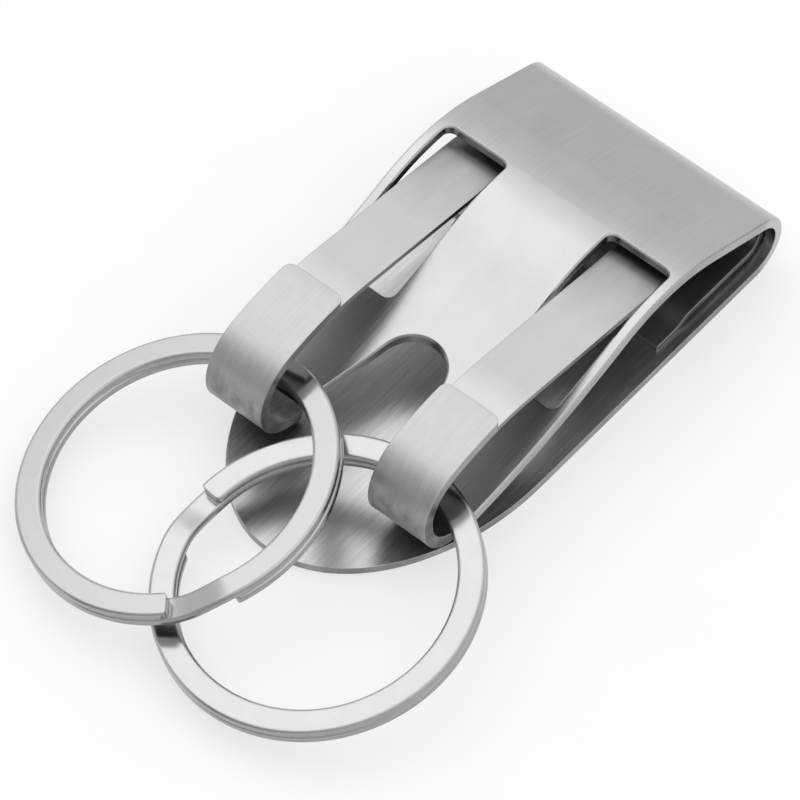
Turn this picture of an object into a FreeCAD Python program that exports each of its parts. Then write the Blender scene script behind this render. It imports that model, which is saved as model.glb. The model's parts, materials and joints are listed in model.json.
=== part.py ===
import FreeCAD, Part
import math
import os

Vec = FreeCAD.Vector

# Clip body: one sheet bent into a loop, +Y towards the fold, back plate on z = 0
body_width = 33.0
body_length = 65.0
body_sheet = 1.2
end_depth = 24.6
fold_radius = 4.4
rise_run = 9.9
crest_radius = 21.8
leg_radius = 90.6
leg_corner = 1.0
edge_break = 0.2
rise_angle = 21.3
fall_angle = 20.1
leg_angle = 4.3
corner_angle = 15.0

# Front plate openings: windows round the arms, arch between the legs
window_rim = 1.25
window_clearance = 0.65
window_setback = 17.7
window_length = 19.4
window_corner = 1.0
arch_depth = 13.6
arch_radius = 4.0
arch_angle = 13.0

# Spring leaf, nested in the fold and seated on the back plate by its pad
leaf_inset = 1.4
leaf_sheet = 0.7
leaf_gap = 0.3
leaf_step = 0.7
leaf_step_radius = 3.0
leaf_pad = 3.0
leaf_run = 9.6
leaf_band = 1.6
leaf_slit = 0.3
leaf_angle = 18.0

# Arms, the two long prongs of the leaf
arm_width = 7.0
arm_knee_radius = 6.0
arm_crown_radius = 30.0
arm_short = 0.9
arm_angle = 7.5
crown_angle = 16.5

# Hooks, strips lapped on the arm ends and bent round the leg ends
hook_lip = 0.3
hook_sheet = 1.3
hook_play = 3.1
hook_tail = 3.0
hook_gap = 0.7
hook_setback = 0.7
hook_corner = 1.0
left_lap_start = 3.8
right_lap_start = 5.0
tail_angle = 20.0

# Split rings, flat wire in two turns, seated over the leg ends
ring_diameter = 35.0
wire_width = 2.85
wire_sheet = 1.05
wire_gap = 0.06
wire_bevel = 0.25
wire_corner = 0.7
left_seat_gap = 0.25
right_seat_gap = 0.7
left_seat_inset = 0.4
right_seat_outset = 0.1
ring_lap_gap = 1.7
left_ring_reach = 10.46
right_ring_reach = 9.17
left_end_angle = -53.0
right_end_angle = 174.0
ring_tilt_angle = 10.1
right_roll_angle = 4.8
ramp_angle = 24.0
ramp_sections = 7

# Cutting tools run this far past what they cut
overrun = 20.0

origin = Vec(0, 0, 0)
across = Vec(1, 0, 0)
along = Vec(0, 1, 0)
upward = Vec(0, 0, 1)


def side(point, heading, amount):
    """Point moved to the left of a heading in the side plane."""
    angle = math.radians(heading)
    return (point[0] - amount * math.sin(angle), point[1] + amount * math.cos(angle))


def ahead(point, heading, amount):
    """Point moved along a heading in the side plane."""
    angle = math.radians(heading)
    return (point[0] + amount * math.cos(angle), point[1] + amount * math.sin(angle))


def follow(point, heading, steps):
    """Point and heading after a list of runs (length, 0) and bends (radius, turn)."""
    for size, turn in steps:
        if turn == 0:
            point = ahead(point, heading, size)
        else:
            reach = math.copysign(size, turn)
            centre = side(point, heading, reach)
            heading = heading + turn
            point = side(centre, heading, -reach)
    return point, heading


def path_edges(point, heading, steps, offset):
    """Lines and arcs that follow runs and bends at an offset to the left."""
    edges = []
    for size, turn in steps:
        middle, half = follow(point, heading, [(size, turn / 2)])
        last, after = follow(point, heading, [(size, turn)])
        stops = ((point, heading), (middle, half), (last, after))
        first, mean, final = [Vec(0, *side(spot, course, offset)) for spot, course in stops]
        if turn == 0:
            edges.append(Part.LineSegment(first, final).toShape())
        else:
            edges.append(Part.Arc(first, mean, final).toShape())
        point, heading = last, after
    return edges


def bent_sheet(point, heading, steps, sheet, centre_x, width):
    """Sheet that follows runs and bends on its outer face and has its thickness on the left."""
    outer = path_edges(point, heading, steps, 0)
    inner = path_edges(point, heading, steps, sheet)
    root = Part.LineSegment(inner[0].Vertexes[0].Point, outer[0].Vertexes[0].Point).toShape()
    tip = Part.LineSegment(outer[-1].Vertexes[-1].Point, inner[-1].Vertexes[-1].Point).toShape()
    face = Part.Face(Part.Wire(outer + [tip] + inner[::-1] + [root]))
    face.translate(across * (centre_x - width / 2))
    return face.extrude(across * width)


def middle_of(edge):
    """Point halfway along an edge."""
    return edge.valueAt((edge.FirstParameter + edge.LastParameter) / 2)


def sharp(shape, edge):
    """True where two faces of a shape meet at a corner and not in a smooth bend."""
    spot = middle_of(edge)
    faces = shape.ancestorsOfType(edge, Part.Face)
    normals = [face.normalAt(*face.Surface.parameter(spot)) for face in faces]
    return normals[0].dot(normals[-1]) < math.cos(math.radians(corner_angle))


half_width = body_width / 2
nose_y = body_length / 2
end_y = -body_length / 2
cut_level = 2 * body_sheet
body_steps = [(body_length - fold_radius, 0), (fold_radius, 180 - rise_angle), (rise_run, 0)]
body_steps += [(crest_radius, rise_angle + fall_angle), (leg_radius, leg_angle - fall_angle)]
leg_end, leg_heading = follow((end_y, 0), 0, body_steps)
window_width = arm_width + 2 * window_clearance
arm_offset = half_width - window_rim - window_width / 2


def window(centre_x):
    """Rounded tool for one window of the front plate."""
    low = Vec(centre_x - window_width / 2, nose_y - window_setback - window_length, cut_level)
    tool = Part.makeBox(window_width, window_length, overrun, low)
    upright = [edge for edge in tool.Edges if edge.BoundBox.ZLength > overrun / 2]
    return tool.makeFillet(window_corner, upright)


def arch():
    """Tool for the notch with a round top and sides that spread to the leg ends."""
    spread = math.radians(arch_angle)
    crown = Vec(0, leg_end[0] + arch_depth, cut_level)
    hub = crown - along * arch_radius
    reach = Vec(arch_radius * math.cos(spread), arch_radius * math.sin(spread), 0)
    run = Vec(arch_depth * math.tan(spread), -arch_depth, 0)
    right = hub + reach
    left = hub + Vec(-reach.x, reach.y, 0)
    right_foot = right + run
    left_foot = left + Vec(-run.x, run.y, 0)
    edges = [Part.LineSegment(right_foot, right).toShape(), Part.Arc(right, crown, left).toShape()]
    edges += [Part.LineSegment(left, left_foot).toShape(), Part.LineSegment(left_foot, right_foot).toShape()]
    return Part.Face(Part.Wire(edges)).extrude(upward * overrun)


def end_trim():
    """Tool that leaves the back plate's end as half an ellipse."""
    low = Vec(-half_width - overrun, end_y - overrun, -overrun)
    block = Part.makeBox(body_width + 2 * overrun, end_depth + overrun, overrun + cut_level, low)
    hub = Vec(0, end_y + end_depth, -overrun)
    oval = Part.Ellipse(hub + along * end_depth, hub + across * half_width, hub)
    plug = Part.Face(Part.Wire(oval.toShape())).extrude(upward * (overrun + cut_level))
    return block.cut(plug)


def clip_body():
    """Bent body with its windows, arch notch and rounded end, and the edges of its outer face broken."""
    body = bent_sheet((end_y, 0), 0, body_steps, body_sheet, 0, body_width)
    body = body.cut([end_trim(), window(arm_offset), window(-arm_offset), arch()]).Solids[0]
    corners = []
    for edge in body.Edges:
        box = edge.BoundBox
        if box.ZMin > cut_level and box.YMax < leg_end[0] + leg_corner and edge.Length < cut_level:
            corners.append(edge)
    body = body.makeFillet(leg_corner, corners)
    skin = Part.Compound(path_edges((end_y, 0), 0, body_steps, 0)).extrude(across * body_width)
    skin.translate(across * -half_width)
    outer = []
    for edge in body.Edges:
        if sharp(body, edge) and skin.distToShape(Part.Vertex(middle_of(edge)))[0] < edge_break / 2:
            outer.append(edge)
    return body.makeChamfer(edge_break, outer)


leaf_radius = fold_radius - body_sheet - leaf_step
leaf_nose = nose_y - body_sheet - leaf_gap
leaf_turn = math.degrees(math.acos(1 - leaf_step / (2 * leaf_step_radius)))
leaf_steps = [(leaf_pad, 0), (leaf_step_radius, leaf_turn), (leaf_step_radius, -leaf_turn), (leaf_run, 0)]
leaf_reach = follow((0, 0), 0, leaf_steps)[0][0]
leaf_root = (leaf_nose - leaf_radius - leaf_reach, body_sheet)
leaf_steps += [(leaf_radius, 180 - leaf_angle), (leaf_band, 0)]
leaf_end, arm_heading = follow(leaf_root, 0, leaf_steps)
arm_root = ahead(leaf_end, arm_heading, leaf_slit)
ring_stack = 2 * wire_sheet + wire_gap
wire_reach = math.hypot(wire_width, ring_stack) / 2
hook_radius = wire_reach + hook_play + hook_sheet
tail_slope = math.radians(tail_angle)
hook_height = body_sheet + hook_gap + hook_tail * math.sin(tail_slope) + hook_radius * math.cos(tail_slope)
hook_centre = (leg_end[0] + hook_setback, hook_height)


def arm_path(root_run, run, turn):
    """Steps of an arm: root run, knee, long run and a crown of the given turn."""
    knee = (arm_knee_radius, leaf_angle - arm_angle)
    return [(root_run, 0), knee, (run, 0), (arm_crown_radius, turn)]


def arm_runs():
    """Lengths of the root run and the long run that bring the hook's bend to its place."""
    end, heading = follow(arm_root, arm_heading, arm_path(0, 0, arm_angle + crown_angle))
    centre = side(end, heading, hook_radius - hook_sheet)
    gap = (hook_centre[0] - centre[0], hook_centre[1] - centre[1])
    first = ahead((0, 0), arm_heading, 1)
    second = ahead((0, 0), arm_heading + leaf_angle - arm_angle, 1)
    area = first[0] * second[1] - first[1] * second[0]
    root_run = (gap[0] * second[1] - gap[1] * second[0]) / area
    return root_run, (first[0] * gap[1] - first[1] * gap[0]) / area


arm_root_run, arm_run = arm_runs()


def arm(centre_x):
    """Arm from the leaf's slit, over a knee, to a crown that carries the hook."""
    turn = arm_angle + crown_angle - math.degrees(arm_short / arm_crown_radius)
    steps = arm_path(arm_root_run, arm_run, turn)
    return bent_sheet(arm_root, arm_heading, steps, leaf_sheet, centre_x, arm_width)


def hook(centre_x, lap_start):
    """Hook strip from its lap on the arm's crown, round a C, to a tail over the back plate."""
    lap_turn = math.degrees(lap_start / arm_crown_radius)
    spot, heading = follow(arm_root, arm_heading, arm_path(arm_root_run, arm_run, lap_turn))
    start = side(spot, heading, -hook_sheet)
    steps = [(arm_crown_radius + hook_sheet, arm_angle + crown_angle - lap_turn)]
    steps += [(hook_radius, 180 - crown_angle - tail_angle), (hook_tail, 0)]
    strip = bent_sheet(start, heading, steps, hook_sheet, centre_x, arm_width + 2 * hook_lip)
    return strip.makeFillet(hook_corner, [edge for edge in strip.Edges if edge.Length < 2 * hook_sheet])


def wire_section(angle, drop):
    """Bevelled outline of the flat wire at an angle round the ring, a drop below its top face."""
    outer = ring_diameter / 2
    inner = outer - wire_width
    low = -drop - wire_sheet
    spots = [(inner + wire_bevel, low), (outer - wire_bevel, low), (outer, low + wire_bevel)]
    spots += [(outer, -drop - wire_bevel), (outer - wire_bevel, -drop), (inner + wire_bevel, -drop)]
    spots += [(inner, -drop - wire_bevel), (inner, low + wire_bevel)]
    points = [Vec(x, 0, z) for x, z in spots]
    outline = Part.makePolygon(points + points[:1])
    outline.rotate(origin, upward, angle)
    return outline


def corner_tools(angle, way):
    """Tools that round both corners of a wire's free end, with the wire on the given way from it."""
    outer = ring_diameter / 2
    tools = []
    for rim, inward in ((outer, -wire_corner), (outer - wire_width, wire_corner)):
        low = Vec(rim - wire_corner, (way - 1) * wire_corner / 2, -2 * ring_stack)
        hub = Vec(rim + inward, way * wire_corner, -2 * ring_stack)
        block = Part.makeBox(2 * wire_corner, wire_corner, 3 * ring_stack, low)
        tool = block.cut(Part.makeCylinder(wire_corner, 3 * ring_stack, hub))
        tool.rotate(origin, upward, angle)
        tools.append(tool)
    return tools


def split_ring(seat, shift, roll_angle, end_angle):
    """Two turns of flat wire joined by a ramp, tilted and hung with its wire through a seat."""
    pitch = wire_sheet + wire_gap
    layers = []
    for drop, free_angle, way in ((0, end_angle, -1), (pitch, end_angle + ramp_angle, 1)):
        section = Part.Face(wire_section(end_angle + ramp_angle, drop))
        layer = section.revolve(origin, upward, 360 - ramp_angle)
        layers.append(layer.cut(corner_tools(free_angle, way)))
    outlines = []
    for count in range(ramp_sections):
        share = count / (ramp_sections - 1)
        drop = pitch * (1 + math.cos(math.pi * share)) / 2
        outlines.append(wire_section(end_angle + ramp_angle * share, drop))
    ramp = Part.makeLoft(outlines, True, False)
    ring = layers[0].fuse([ramp, layers[1]]).Solids[0]
    wire_radius = (ring_diameter - wire_width) / 2
    ring.translate(Vec(shift, -math.sqrt(wire_radius ** 2 - shift ** 2), ring_stack / 2))
    ring.rotate(origin, across, ring_tilt_angle)
    ring.rotate(origin, along, -roll_angle)
    ring.translate(seat)
    return ring


seat_height = leg_end[1] + ring_stack / 2
right_seat = Vec(arm_offset, leg_end[0] - right_seat_outset, seat_height + right_seat_gap)
lap_height = right_seat.z - arm_offset * math.tan(math.radians(right_roll_angle)) + ring_stack + ring_lap_gap
left_slope = (lap_height - seat_height - left_seat_gap) / half_width
left_roll_angle = math.degrees(math.atan(left_slope))
left_rise = left_seat_gap + (half_width - arm_offset) * left_slope
left_seat = Vec(-arm_offset, leg_end[0] + left_seat_inset, seat_height + left_rise)

pieces = {
    "clip_body": clip_body(),
    "spring_leaf": bent_sheet(leaf_root, 0, leaf_steps, leaf_sheet, 0, body_width - 2 * leaf_inset),
    "left_arm": arm(-arm_offset),
    "right_arm": arm(arm_offset),
    "left_hook": hook(-arm_offset, left_lap_start),
    "right_hook": hook(arm_offset, right_lap_start),
    "left_ring": split_ring(left_seat, arm_offset - left_ring_reach, left_roll_angle, left_end_angle),
    "right_ring": split_ring(right_seat, right_ring_reach - arm_offset, right_roll_angle, right_end_angle),
}

os.makedirs("parts", exist_ok=True)
for name, shape in pieces.items():
    shape.exportStep("parts/" + name + ".step")
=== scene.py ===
import bpy
import json
from math import pi
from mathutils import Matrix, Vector

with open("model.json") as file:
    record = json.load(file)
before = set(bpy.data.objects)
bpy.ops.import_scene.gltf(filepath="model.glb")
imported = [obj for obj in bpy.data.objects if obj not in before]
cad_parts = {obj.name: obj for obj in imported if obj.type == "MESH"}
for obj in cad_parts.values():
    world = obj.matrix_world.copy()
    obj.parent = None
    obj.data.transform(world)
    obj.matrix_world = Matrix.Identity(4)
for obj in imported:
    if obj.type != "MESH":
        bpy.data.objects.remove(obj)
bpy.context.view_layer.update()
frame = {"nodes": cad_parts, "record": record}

# Lengths and places are in metres in the part's frame

# Camera
EYE = (0.2363, -0.2883, 0.5127)
AIM = (-0.00203, -0.00873, 0.0)
LENS_MM = 269.1

# Floor card, with the share of plain white in what the camera and the metal see of it
FLOOR_SIZE = 6.0
FLOOR_LEVEL = -0.00002
FLOOR_FIBRES = ((90.0, 90.0, 90.0), 4.0)
FLOOR_TONE = (0.93, 0.95)
FLOOR_ROUGH = 0.9
FLOOR_WHITE = 0.6

# Sky: its level at each height from the horizon to overhead
SKY_STOPS = (
    (0.0, 0.20), (0.12, 0.50), (0.30, 0.88), (0.60, 0.88), (0.70, 1.26), (0.82, 1.36), (1.0, 1.18),
)
# Places along Y between which it brightens from the front, with its strength at each
SKY_FRONT = (-0.8, 0.0, 0.55, 1.0)
# Places along Y between which a pale card sets in behind the part,
# with the height whose level it has at each
SKY_CARD = (0.86, 0.93, 0.0, 0.38)

# Soft box overhead: place, size and brightness, aimed at the part's origin
TOP_BOX = ((-0.42, 0.05, 0.95), 0.9, 0.35)
ORIGIN = (0.0, 0.0, 0.0)

# Span of a noise that counts, from its low to its high spots
NOISE_SPAN = (0.3, 0.7)

# Broken edges, as the shading sees them: their width, and the turn of the normal, as a cosine,
# between which an edge's own grey sets in, on the rings a painted dark reflection
SHEET_EDGE = 0.00012
WIRE_EDGE = 0.00032
EDGE_TURN = (0.99, 0.85)
EDGE_SAMPLES = 6

# Painted shade in recesses: how far round a spot the shading looks for what shuts it in, and the
# open share between which the colour goes from its darkest painted shade to its own grey
HOOK_RECESS = 0.006
ARM_RECESS = 0.008
OPEN_SHARE = (0.3, 0.9)
RECESS_SAMPLES = 8

# Levels, high and low, between which the back plate's streaks and painted light, and the painted
# shade on the hooks' noses, set in
BACK_LEVELS = (0.003, 0.002)
NOSE_LEVELS = (0.0125, 0.0095)

# Places along the clip between which painted shade darkens the arms towards the windows' inner
# ends, and between which the painted shade on the sheet's cut edges sets in, off the fold
ARM_SHADE_PLACES = (0.003, 0.013)
FOLD_PLACES = (0.0300, 0.0285)

# How far a face lies along the back plate, from 1 for a face along it to 0 for a wall square to it:
# the slopes between which a wall sets in, and between which a lying face does
WALL_SLOPES = (0.6, 0.3)
FACE_SLOPES = (0.3, 0.6)

# How far a face is turned to an axis, between which the cut sides of arms, hooks and windows set in
SIDE_SLOPES = (0.6, 0.9)

# Places along the clip between which the painted shade on the windows' inner ends sets in
WINDOW_PLACES = (0.004, 0.010)

# Each finish below has its grains, as the noise's scale along X, Y and Z and its detail;
# its greys and roughness, as what they are at a grain's low and high spots;
# and the depth of its relief

# Body sheet
BODY_LINES = ((5000.0, 110.0, 110.0), 3.0)
BODY_CLOUDS = ((260.0, 160.0, 160.0), 2.0)
BACK_STREAKS = ((3400.0, 240.0, 240.0), 2.0)
BODY_GREY = (0.475, 0.495)
BODY_CLOUD_GREY = (0.0, 0.03)
# Back plate streaks: brushed grain whose mostly light greys are also painted light on the plate's
# shade
BACK_STREAKS_AND_PAINTED_LIGHT = (0.0, 0.12)
# Painted shade on the sheet's cut edges, darker still along the back plate, standing in for dark
# reflections
CUT_PAINTED_SHADE = (-0.18, -0.10)
BACK_CUT_PAINTED_SHADE = (-0.11, -0.07)
WINDOW_PAINTED_SHADE = (-0.20, -0.14)
BODY_EDGE_GREY = 0.54
BODY_ROUGH = (0.20, 0.28)
BACK_ROUGH = (0.07, 0.09)
BODY_RELIEF = 0.0000005

# Spring sheet
SPRING_LINES = ((9000.0, 60.0, 60.0), 2.0)
SPRING_CLOUDS = ((300.0, 120.0, 120.0), 2.0)
SPRING_GREY = (0.53, 0.56)
SPRING_CLOUD_GREY = (0.0, 0.03)
ARM_PAINTED_SHADE = (-0.19, -0.10)
ARM_SIDE_PAINTED_SHADE = (-0.34, -0.26)
SPRING_RECESS_SHADE_LEAST = 0.7
SPRING_EDGE_GREY = 0.60
SPRING_ROUGH = (0.30, 0.38)
SPRING_RELIEF = 0.000002

# Hook strip
HOOK_LINES = ((4500.0, 80.0, 80.0), 3.0)
HOOK_SCUFF_AND_SHADE_GRAIN = ((900.0, 500.0, 500.0), 3.0)
HOOK_GREY = (0.44, 0.52)
SCUFF_GREY = (0.0, 0.025)
NOSE_PAINTED_SHADE = (-0.27, -0.14)
HOOK_SIDE_PAINTED_SHADE = (-0.16, -0.10)
HOOK_RECESS_SHADE_LEAST = 0.25
HOOK_EDGE_GREY = 0.52
HOOK_ROUGH = (0.36, 0.48)
HOOK_RELIEF = 0.000003

# Ring wire
RING_CLOUDS = ((420.0, 420.0, 420.0), 3.0)
RING_DENTS = ((1500.0, 1500.0, 1500.0), 2.0)
RING_GREY = (0.47, 0.49)
DENT_GREY = (0.0, 0.01)
WIRE_WALL_PAINTED_REFLECTION = (-0.16, -0.12)
RING_EDGE_PAINTED_REFLECTION = 0.44
RING_ROUGH = (0.14, 0.19)
RING_RELIEF = 0.0000005


def new_material(name):
    """Material with its node tree and main shader."""
    made = bpy.data.materials.new(name)
    made.use_nodes = True
    return made, made.node_tree, made.node_tree.nodes["Principled BSDF"]


def combined(tree, operation, first, second):
    """Two values put together by a math operation."""
    node = tree.nodes.new("ShaderNodeMath")
    node.operation = operation
    tree.links.new(first, node.inputs[0])
    tree.links.new(second, node.inputs[1])
    return node.outputs["Value"]


def total(tree, first, second):
    """Sum of two values."""
    return combined(tree, "ADD", first, second)


def product(tree, first, second):
    """Product of two values."""
    return combined(tree, "MULTIPLY", first, second)


def ranged(tree, value, start, end, low=0.0, high=1.0):
    """Value that goes from low to high while another goes from start to end, and no further."""
    node = tree.nodes.new("ShaderNodeMapRange")
    limits = {"From Min": start, "From Max": end, "To Min": low, "To Max": high}
    for name, limit in limits.items():
        node.inputs[name].default_value = limit
    tree.links.new(value, node.inputs["Value"])
    return node.outputs["Result"]


def coordinate(tree, kind, axis):
    """One axis of a texture coordinate."""
    place = tree.nodes.new("ShaderNodeTexCoord")
    split = tree.nodes.new("ShaderNodeSeparateXYZ")
    tree.links.new(place.outputs[kind], split.inputs["Vector"])
    return split.outputs[axis]


def grain(tree, scales, detail):
    """Noise stretched by its own scale along X, Y and Z of the piece."""
    place = tree.nodes.new("ShaderNodeTexCoord")
    stretch = tree.nodes.new("ShaderNodeMapping")
    noise = tree.nodes.new("ShaderNodeTexNoise")
    stretch.inputs["Scale"].default_value = scales
    noise.inputs["Scale"].default_value = 1.0
    noise.inputs["Detail"].default_value = detail
    tree.links.new(place.outputs["Object"], stretch.inputs["Vector"])
    tree.links.new(stretch.outputs["Vector"], noise.inputs["Vector"])
    return noise.outputs["Fac"]


def spread(tree, noise, low, high):
    """Value between low and high that follows a noise."""
    return ranged(tree, noise, *NOISE_SPAN, low, high)


def shifted(tree, value, noise, limits, mask):
    """Value moved, as far as a mask says, by an amount that follows a noise."""
    return total(tree, value, product(tree, spread(tree, noise, *limits), mask))


def between(tree, axis, start, end):
    """Mask that rises from 0 at one place along an axis of the piece to 1 at another."""
    return ranged(tree, coordinate(tree, "Object", axis), start, end)


def sloped(tree, axis, start, end):
    """Mask that rises from 0 at one share of the face's normal along an axis to 1 at another."""
    slope = tree.nodes.new("ShaderNodeMath")
    slope.operation = "ABSOLUTE"
    tree.links.new(coordinate(tree, "Normal", axis), slope.inputs[0])
    return ranged(tree, slope.outputs["Value"], start, end)


def rounded_edges(tree, width):
    """Rounded normal at the edges, and a mask that is 1 there and 0 on the faces."""
    rounded = tree.nodes.new("ShaderNodeBevel")
    flat = tree.nodes.new("ShaderNodeNewGeometry")
    turn = tree.nodes.new("ShaderNodeVectorMath")
    rounded.samples = EDGE_SAMPLES
    rounded.inputs["Radius"].default_value = width
    turn.operation = "DOT_PRODUCT"
    tree.links.new(rounded.outputs["Normal"], turn.inputs[0])
    tree.links.new(flat.outputs["Normal"], turn.inputs[1])
    return rounded.outputs["Normal"], ranged(tree, turn.outputs["Value"], *EDGE_TURN)


def shaded_in_recess(tree, shade, reach, least):
    """Value that falls to a share of itself where the piece is shut in within a reach: painted
    shade in recesses.
    """
    openness = tree.nodes.new("ShaderNodeAmbientOcclusion")
    openness.samples = RECESS_SAMPLES
    openness.inputs["Distance"].default_value = reach
    return product(tree, shade, ranged(tree, openness.outputs["AO"], *OPEN_SHARE, least))


def grey(tree, tone):
    """Colour with one value in all its channels."""
    colour = tree.nodes.new("ShaderNodeCombineColor")
    for channel in ("Red", "Green", "Blue"):
        tree.links.new(tone, colour.inputs[channel])
    return colour.outputs["Color"]


def metal(tree, shader, shade, rough, edge_width, edge_grey, height, relief):
    """Bare metal whose grey and roughness follow values, with an edge grey and a fine relief."""
    normal, edge = rounded_edges(tree, edge_width)
    mix = tree.nodes.new("ShaderNodeMix")
    bump = tree.nodes.new("ShaderNodeBump")
    tree.links.new(edge, mix.inputs["Factor"])
    tree.links.new(shade, mix.inputs["A"])
    mix.inputs["B"].default_value = edge_grey
    bump.inputs["Distance"].default_value = relief
    tree.links.new(height, bump.inputs["Height"])
    tree.links.new(normal, bump.inputs["Normal"])
    shader.inputs["Metallic"].default_value = 1.0
    tree.links.new(grey(tree, mix.outputs["Result"]), shader.inputs["Base Color"])
    tree.links.new(rough, shader.inputs["Roughness"])
    tree.links.new(bump.outputs["Normal"], shader.inputs["Normal"])


def body_steel():
    """Satin stainless sheet with faint lines, and streaks on the back plate that also paint light
    onto it, with painted shade on its cut edges and the windows' inner ends.
    """
    made, tree, shader = new_material("body_steel")
    lines = grain(tree, *BODY_LINES)
    clouds = grain(tree, *BODY_CLOUDS)
    streaks = grain(tree, *BACK_STREAKS)
    low = between(tree, "Z", *BACK_LEVELS)
    back = product(tree, low, sloped(tree, "Z", *FACE_SLOPES))
    cut = product(tree, sloped(tree, "Z", *WALL_SLOPES), between(tree, "Y", *FOLD_PLACES))
    window = product(tree, cut, sloped(tree, "Y", *SIDE_SLOPES))
    window = product(tree, window, between(tree, "Y", *WINDOW_PLACES))
    shade = total(tree, spread(tree, lines, *BODY_GREY), spread(tree, clouds, *BODY_CLOUD_GREY))
    # Brushed streaks on the back plate, lifted so that they also paint light onto its shade
    shade = shifted(tree, shade, streaks, BACK_STREAKS_AND_PAINTED_LIGHT, back)
    # Painted shade: cut edges darkened as if they reflected dark surroundings, more so along the
    # back plate
    shade = shifted(tree, shade, clouds, CUT_PAINTED_SHADE, cut)
    shade = shifted(tree, shade, clouds, BACK_CUT_PAINTED_SHADE, product(tree, cut, low))
    # Painted shade on the windows' inner ends, where the slot to the arm below lies in shade
    shade = shifted(tree, shade, clouds, WINDOW_PAINTED_SHADE, window)
    rough = shifted(tree, spread(tree, lines, *BODY_ROUGH), streaks, BACK_ROUGH, back)
    metal(tree, shader, shade, rough, SHEET_EDGE, BODY_EDGE_GREY, lines, BODY_RELIEF)
    return made


def spring_steel():
    """Brighter spring sheet with fine lines, and painted shade on its cut sides, towards the fold
    and in recesses.
    """
    made, tree, shader = new_material("spring_steel")
    lines = grain(tree, *SPRING_LINES)
    clouds = grain(tree, *SPRING_CLOUDS)
    shade = total(tree, spread(tree, lines, *SPRING_GREY), spread(tree, clouds, *SPRING_CLOUD_GREY))
    # Painted shade: the arms darker towards the windows' inner ends
    shade = shifted(tree, shade, clouds, ARM_PAINTED_SHADE, between(tree, "Y", *ARM_SHADE_PLACES))
    # Painted shade on the arms' cut sides, standing in for dark reflections
    shade = shifted(tree, shade, clouds, ARM_SIDE_PAINTED_SHADE, sloped(tree, "X", *SIDE_SLOPES))
    # Painted shade where the arms are shut in
    shade = shaded_in_recess(tree, shade, ARM_RECESS, SPRING_RECESS_SHADE_LEAST)
    rough = spread(tree, lines, *SPRING_ROUGH)
    metal(tree, shader, shade, rough, SHEET_EDGE, SPRING_EDGE_GREY, lines, SPRING_RELIEF)
    return made


def hook_steel():
    """Strip with strong lines and faint scuffing along it, and painted shade on its cut sides, its
    lower noses and in recesses.
    """
    made, tree, shader = new_material("hook_steel")
    lines = grain(tree, *HOOK_LINES)
    scuff_and_shade_noise = grain(tree, *HOOK_SCUFF_AND_SHADE_GRAIN)
    shade = total(tree, spread(tree, lines, *HOOK_GREY), spread(tree, scuff_and_shade_noise, *SCUFF_GREY))
    # Painted shade: the hooks' noses darker towards the bottom, standing in for dark reflections
    # from below
    shade = shifted(tree, shade, scuff_and_shade_noise, NOSE_PAINTED_SHADE, between(tree, "Z", *NOSE_LEVELS))
    # Painted shade on the hooks' cut sides, standing in for dark reflections
    shade = shifted(tree, shade, scuff_and_shade_noise, HOOK_SIDE_PAINTED_SHADE, sloped(tree, "X", *SIDE_SLOPES))
    # Painted shade where the hooks are shut in, as inside the bend
    shade = shaded_in_recess(tree, shade, HOOK_RECESS, HOOK_RECESS_SHADE_LEAST)
    rough = spread(tree, lines, *HOOK_ROUGH)
    metal(tree, shader, shade, rough, SHEET_EDGE, HOOK_EDGE_GREY, lines, HOOK_RELIEF)
    return made


def ring_nickel():
    """Polished nickel plate with soft clouds and small dents, and painted dark reflections on its
    walls and edges.
    """
    made, tree, shader = new_material("ring_nickel")
    clouds = grain(tree, *RING_CLOUDS)
    dents = grain(tree, *RING_DENTS)
    shade = total(tree, spread(tree, clouds, *RING_GREY), spread(tree, dents, *DENT_GREY))
    # Painted dark reflection on the wire's walls
    shade = shifted(tree, shade, clouds, WIRE_WALL_PAINTED_REFLECTION, sloped(tree, "Z", *WALL_SLOPES))
    rough = spread(tree, clouds, *RING_ROUGH)
    # The rings' edge grey is a painted dark reflection along the rounded edges
    metal(tree, shader, shade, rough, WIRE_EDGE, RING_EDGE_PAINTED_REFLECTION, dents, RING_RELIEF)
    return made


def floor_card():
    """Matt white card, partly plain white to the camera and to metal, with a soft shadow."""
    made, tree, shader = new_material("floor_card")
    tone = spread(tree, grain(tree, *FLOOR_FIBRES), *FLOOR_TONE)
    tree.links.new(grey(tree, tone), shader.inputs["Base Color"])
    shader.inputs["Roughness"].default_value = FLOOR_ROUGH
    shader.inputs["Specular IOR Level"].default_value = 0.0
    path = tree.nodes.new("ShaderNodeLightPath")
    seen = total(tree, path.outputs["Is Camera Ray"], path.outputs["Is Glossy Ray"])
    seen = total(tree, seen, path.outputs["Is Transmission Ray"])
    white = tree.nodes.new("ShaderNodeEmission")
    both = tree.nodes.new("ShaderNodeMixShader")
    tree.links.new(ranged(tree, seen, 0.0, 1.0, high=FLOOR_WHITE), both.inputs["Fac"])
    tree.links.new(shader.outputs["BSDF"], both.inputs[1])
    tree.links.new(white.outputs["Emission"], both.inputs[2])
    tree.links.new(both.outputs["Shader"], tree.nodes["Material Output"].inputs["Surface"])
    return made


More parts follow.
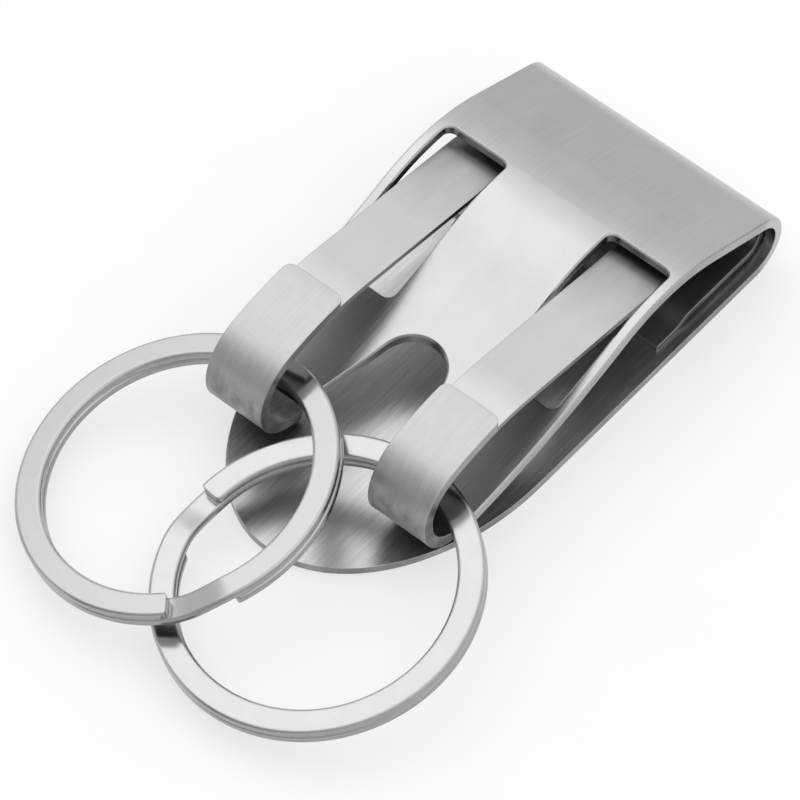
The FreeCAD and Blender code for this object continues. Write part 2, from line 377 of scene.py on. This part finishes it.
def sky():
    """Grey gradient, brighter overhead and dimmer in front, with a pale card behind the part."""
    world = bpy.data.worlds.new("sky")
    bpy.context.scene.world = world
    world.use_nodes = True
    tree = world.node_tree
    background = tree.nodes["Background"]
    ramp = tree.nodes.new("ShaderNodeValToRGB")
    stops = ramp.color_ramp.elements
    while len(stops) < len(SKY_STOPS):
        stops.new(1.0)
    for stop, (height, level) in zip(stops, SKY_STOPS):
        stop.position = height
        stop.color = (level, level, level, 1.0)
    behind = coordinate(tree, "Generated", "Y")
    card = ranged(tree, behind, *SKY_CARD)
    up = combined(tree, "MAXIMUM", coordinate(tree, "Generated", "Z"), card)
    tree.links.new(up, ramp.inputs["Fac"])
    tree.links.new(ramp.outputs["Color"], background.inputs["Color"])
    tree.links.new(ranged(tree, behind, *SKY_FRONT), background.inputs["Strength"])


def aimed(thing, place, target):
    """Puts a lamp or camera at a place in the scene, turned to a target."""
    thing.location = place
    thing.rotation_euler = (Vector(target) - Vector(place)).to_track_quat("-Z", "Y").to_euler()
    bpy.context.scene.collection.objects.link(thing)


def soft_box(name, place, size, level):
    """Square light aimed at the part, whose face has the given brightness."""
    lamp = bpy.data.lights.new(name, "AREA")
    lamp.size = size
    lamp.energy = level * size * size * pi
    aimed(bpy.data.objects.new(name, lamp), place, ORIGIN)


def finish_pieces():
    """Gives every piece the finish of its slot."""
    finishes = {
        "body_sheet": body_steel(),
        "spring_sheet": spring_steel(),
        "hook_strip": hook_steel(),
        "ring_wire": ring_nickel(),
    }
    for part in frame["record"]["subparts"]:
        piece = frame["nodes"][part["node"]]
        piece.data.materials.clear()
        piece.data.materials.append(finishes[part["material_slot"]])


def studio():
    """Floor, sky, light and camera."""
    bpy.ops.mesh.primitive_plane_add(size=FLOOR_SIZE, location=(0.0, 0.0, FLOOR_LEVEL))
    floor = bpy.context.active_object
    floor.name = "floor"
    floor.data.materials.append(floor_card())
    sky()
    soft_box("top_box", *TOP_BOX)
    camera = bpy.data.objects.new("camera", bpy.data.cameras.new("camera"))
    camera.data.lens = LENS_MM
    aimed(camera, EYE, AIM)
    bpy.context.scene.camera = camera
    bpy.context.scene.view_settings.view_transform = "Standard"


finish_pieces()
studio()
